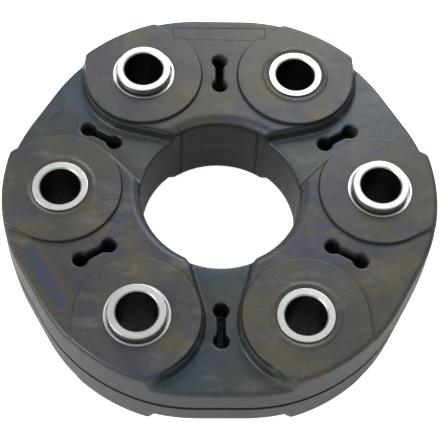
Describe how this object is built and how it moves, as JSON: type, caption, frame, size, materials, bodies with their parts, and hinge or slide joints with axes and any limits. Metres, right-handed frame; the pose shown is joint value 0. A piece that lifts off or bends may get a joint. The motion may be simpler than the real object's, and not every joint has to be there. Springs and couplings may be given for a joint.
{
  "type": "flexible disc coupling",
  "caption": "Moulded rubber disc coupling for a driveline, rounded hexagon with a centre hole, stepped pads and steel bolt sleeves that stand out of alternate sides.",
  "frame": {"origin": "centre of the disc, on its axis and halfway through its thickness", "axes": "+Z along the disc's axis, +X towards sleeve 1, which stands out of the +Z side"},
  "size_m": [0.1318, 0.1282, 0.036],
  "materials": {
    "rubber": "dull moulded rubber with a grey bloom",
    "sleeve_steel": "turned and zinc plated",
    "collar_steel": "pressed",
    "cord": "wound polyester cord"
  },
  "bodies": {
    "root": {"rubber_disc": "rubber", "sleeve_1": "sleeve_steel", "sleeve_2": "sleeve_steel", "sleeve_3": "sleeve_steel", "sleeve_4": "sleeve_steel", "sleeve_5": "sleeve_steel", "sleeve_6": "sleeve_steel", "upper_collar_1": "collar_steel", "lower_collar_1": "collar_steel", "upper_collar_2": "collar_steel", "lower_collar_2": "collar_steel", "upper_collar_3": "collar_steel", "lower_collar_3": "collar_steel", "upper_collar_4": "collar_steel", "lower_collar_4": "collar_steel", "upper_collar_5": "collar_steel", "lower_collar_5": "collar_steel", "upper_collar_6": "collar_steel", "lower_collar_6": "collar_steel", "upper_spacer_1": "collar_steel", "lower_spacer_1": "collar_steel", "upper_spacer_2": "collar_steel", "lower_spacer_2": "collar_steel", "upper_spacer_3": "collar_steel", "lower_spacer_3": "collar_steel", "upper_spacer_4": "collar_steel", "lower_spacer_4": "collar_steel", "upper_spacer_5": "collar_steel", "lower_spacer_5": "collar_steel", "upper_spacer_6": "collar_steel", "lower_spacer_6": "collar_steel", "upper_tension_pack_2_3": "cord", "lower_tension_pack_2_3": "cord", "upper_tension_pack_4_5": "cord", "lower_tension_pack_4_5": "cord", "upper_tension_pack_6_1": "cord", "lower_tension_pack_6_1": "cord", "thrust_pack_1_2": "cord", "thrust_pack_3_4": "cord", "thrust_pack_5_6": "cord"}
  },
  "joints": []
}
